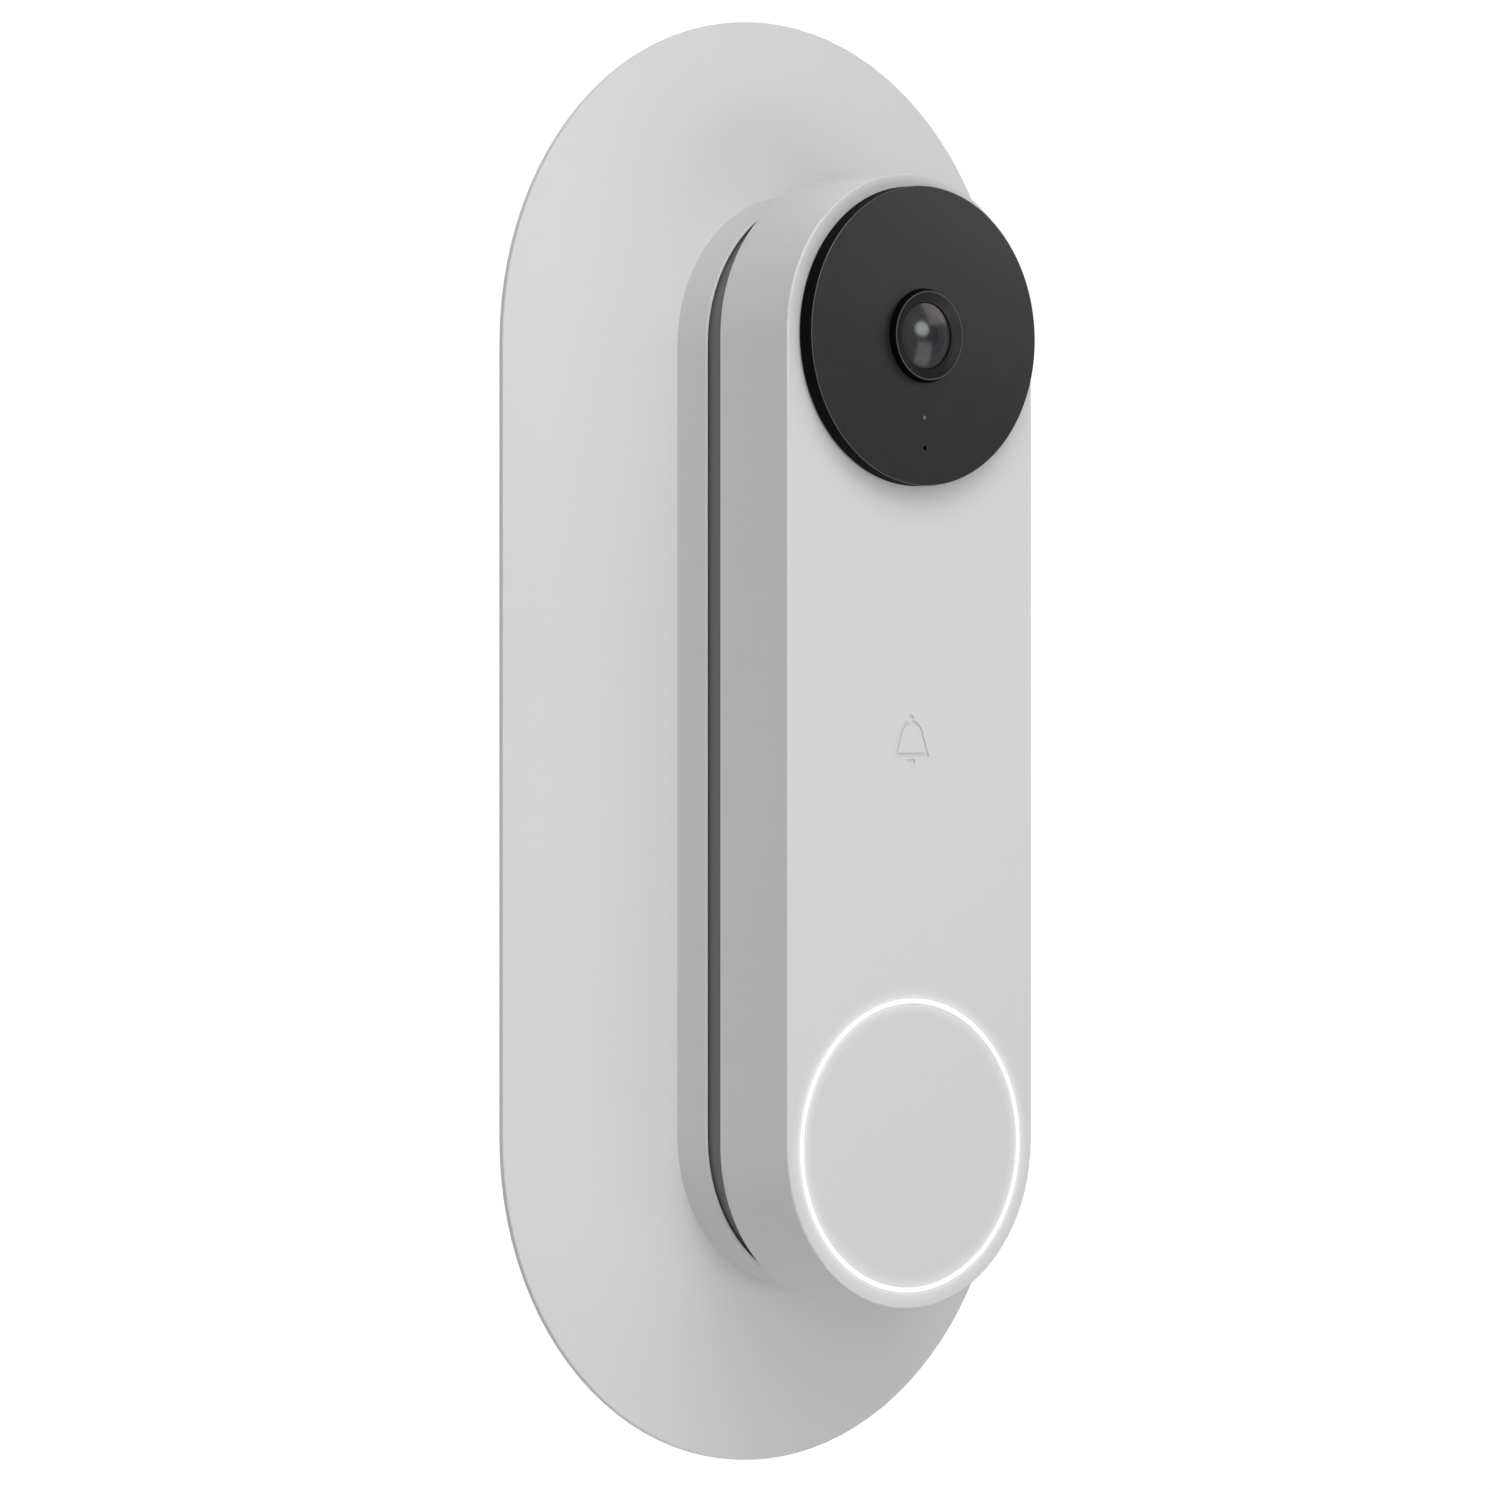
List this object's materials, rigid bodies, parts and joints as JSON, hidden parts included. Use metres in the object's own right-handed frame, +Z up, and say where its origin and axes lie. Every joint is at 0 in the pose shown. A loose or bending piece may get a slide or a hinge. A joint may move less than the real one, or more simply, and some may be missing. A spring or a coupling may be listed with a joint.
{
  "type": "video doorbell",
  "caption": "Slim stadium-shaped video doorbell with a round camera window and a ringed push button, on a broad sloping wall trim plate with a mounting bracket.",
  "frame": {"origin": "centre of the trim plate's contact face with the wall", "axes": "+Z up, the front faces -Y, +X to the right of someone facing the wall"},
  "size_m": [0.095, 0.0374, 0.2068],
  "materials": {
    "white_shell": "moulded satin white",
    "white_plate": "moulded satin white",
    "dark_housing": "moulded matt charcoal",
    "window": "satin black, infrared passing",
    "bezel": "gloss black",
    "lens_glass": "coated glass",
    "lens_black": "matt black",
    "filter_glass": "coated filter glass",
    "diffuser": "milky translucent, lit",
    "clear_plastic": "clear moulded",
    "rubber_grey": "moulded silicone",
    "foam": "closed-cell foam",
    "adhesive": "double-sided adhesive",
    "steel": "zinc-plated",
    "spring_steel": "rolled spring steel",
    "brass": "turned",
    "board": "solder-masked laminate",
    "chip": "moulded package",
    "shield": "stamped tinned can",
    "flex": "amber ribbon",
    "copper": "stamped copper",
    "pouch": "foil pouch",
    "wire_red": "insulated wire",
    "connector": "natural moulded",
    "led": "resin over a ceramic base"
  },
  "bodies": {
    "wall_mount": {"wall_plate": "white_plate", "mount_bracket": "dark_housing", "bracket_screws": "steel", "rest_pads": "rubber_grey", "latch_clip": "spring_steel", "latch_screw": "steel"},
    "unit": {"front_shell": "white_shell", "rear_housing": "dark_housing", "housing_seal": "rubber_grey", "housing_screws": "steel", "vent_membrane": "foam", "camera_window": "window", "window_adhesive": "adhesive", "lens_bezel": "bezel", "lens_dome": "lens_glass", "lens_barrel": "lens_black", "lens_elements": "lens_glass", "lens_holder": "lens_black", "ir_filter": "filter_glass", "image_sensor": "chip", "camera_board": "board", "sensor_board": "board", "ir_leds": "led", "status_led": "led", "light_pipe": "clear_plastic", "microphone": "shield", "mic_gasket": "rubber_grey", "sensor_flex": "flex", "camera_flex": "flex", "battery_cells": "pouch", "battery_tape": "adhesive", "battery_guard_board": "board", "battery_foam": "foam", "battery_lead": "wire_red", "battery_plug": "connector", "main_board": "board", "rf_shield": "shield", "processor": "chip", "board_chips": "chip", "wifi_antenna": "copper", "usb_port": "steel", "terminal_block": "lens_black", "terminal_screws": "brass", "reset_switch": "chip", "speaker": "lens_black", "speaker_mesh": "foam", "speaker_gasket": "foam", "light_ring": "diffuser", "button_switch": "chip", "button_seal": "rubber_grey", "button_board": "board", "ring_leds": "led", "board_screws": "steel", "button_flex": "flex"},
    "button": {"button_cap": "white_shell", "switch_stem": "lens_black"},
    "reset": {"reset_button": "rubber_grey"},
    "release": {"release_slider": "clear_plastic"}
  },
  "joints": [
    {"name": "unit_tilt", "type": "hinge", "parent": "wall_mount", "child": "unit", "pos_m": [0, -0.0154, -0.0732], "axis": [1, 0, 0], "range_deg": [0, 12], "deforming": ["latch_clip"]},
    {"name": "button_press", "type": "slide", "parent": "unit", "child": "button", "axis": [0, 1, 0], "range_m": [0, 0.0005], "stiffness_N_per_m": 3000, "springref_m": -0.0003},
    {"name": "reset_press", "type": "slide", "parent": "unit", "child": "reset", "axis": [0, -1, 0], "range_m": [0, 0.0004], "stiffness_N_per_m": 2000, "springref_m": -0.0002},
    {"name": "release_slide", "type": "slide", "parent": "unit", "child": "release", "axis": [0, 0, -1], "range_m": [0, 0.0015], "stiffness_N_per_m": 400, "springref_m": -0.0005}
  ]
}
